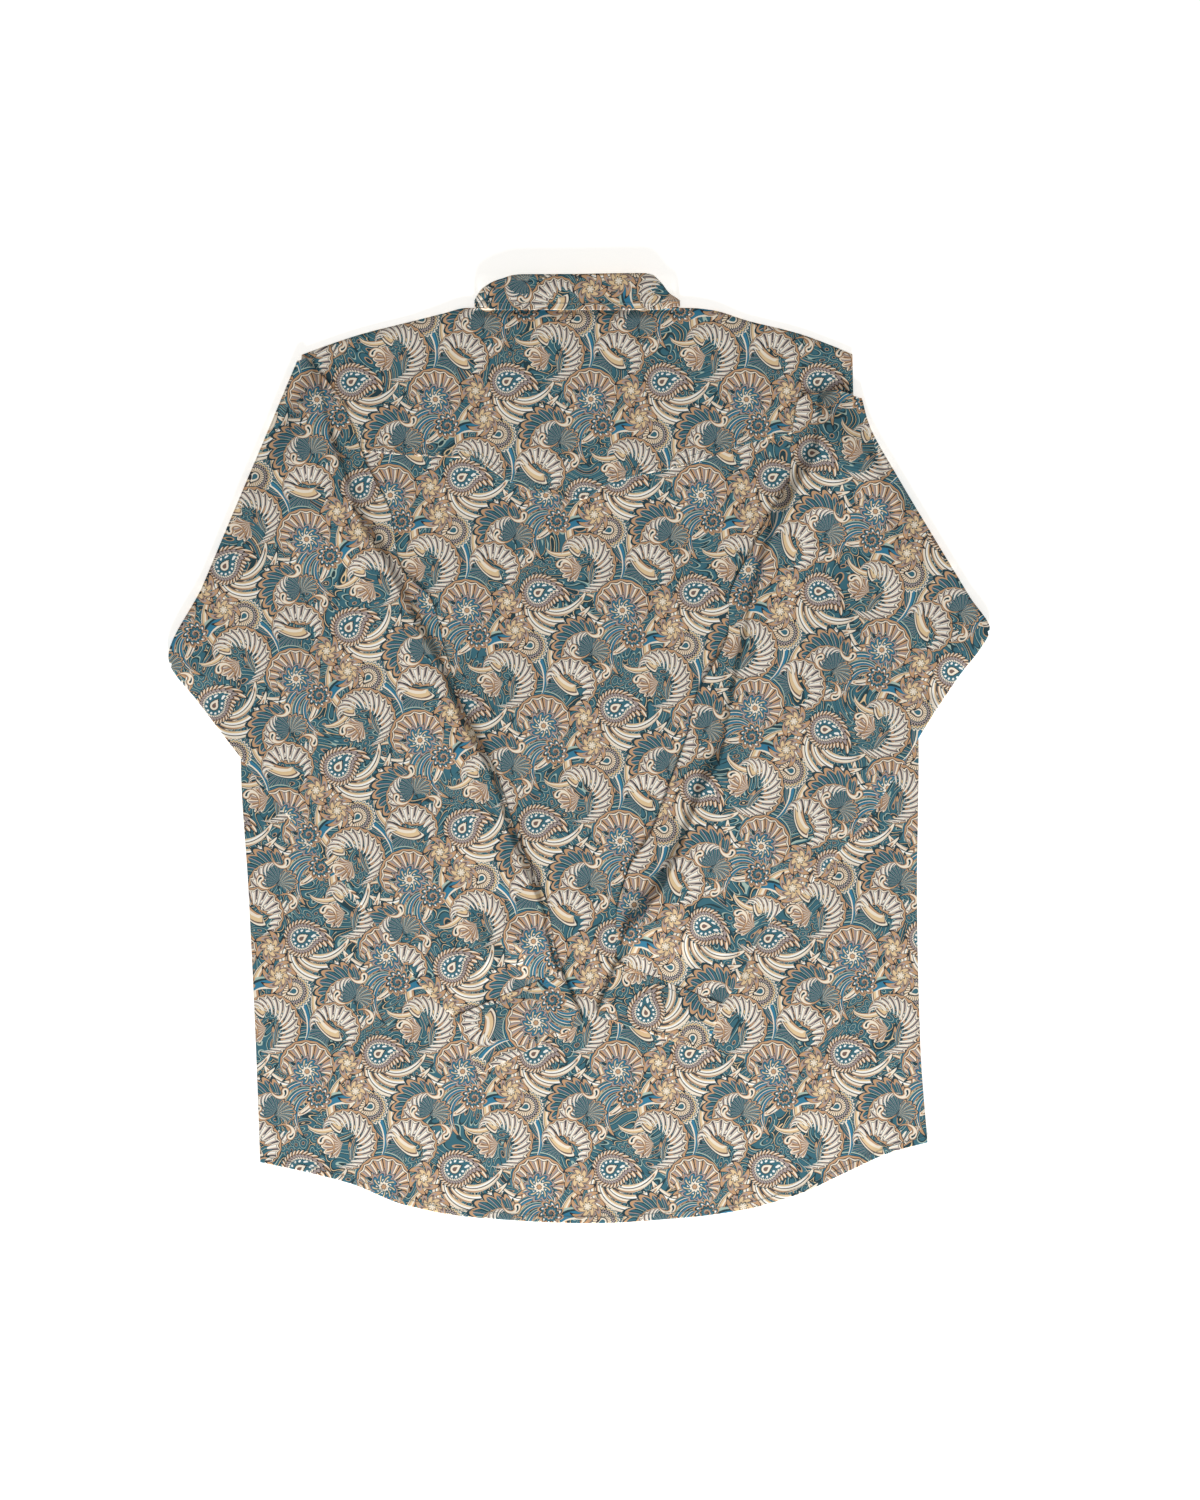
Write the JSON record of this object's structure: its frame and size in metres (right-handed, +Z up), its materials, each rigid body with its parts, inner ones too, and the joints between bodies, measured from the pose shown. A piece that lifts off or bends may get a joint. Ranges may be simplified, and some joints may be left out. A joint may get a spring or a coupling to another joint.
{
  "type": "snap shirt",
  "caption": "Long-sleeved western snap shirt in all-over paisley cotton, laid face down with both sleeves folded in across the back.",
  "frame": {"origin": "on the surface it lies on, under the middle of the shirt's outline", "axes": "+Z up off the surface, +Y towards the collar, +X to the right with the collar up, back of the shirt on top"},
  "size_m": [0.7543, 0.8735, 0.0134],
  "materials": {
    "paisley_cotton": "matt woven cotton with an all-over paisley print in teal, cream, tan and mauve",
    "pearl_cap": "pearly snap cap in a thin metal rim"
  },
  "bodies": {
    "root": {"back": "paisley_cotton", "yoke": "paisley_cotton", "front_left": "paisley_cotton", "front_right": "paisley_cotton", "collar_fall": "paisley_cotton", "collar_stand": "paisley_cotton", "sleeve_left": "paisley_cotton", "sleeve_right": "paisley_cotton", "cuff_left": "paisley_cotton", "cuff_right": "paisley_cotton", "snap_neck": "pearl_cap", "snap_1": "pearl_cap", "snap_2": "pearl_cap", "snap_3": "pearl_cap", "snap_4": "pearl_cap", "snap_5": "pearl_cap", "snap_6": "pearl_cap"}
  },
  "joints": []
}
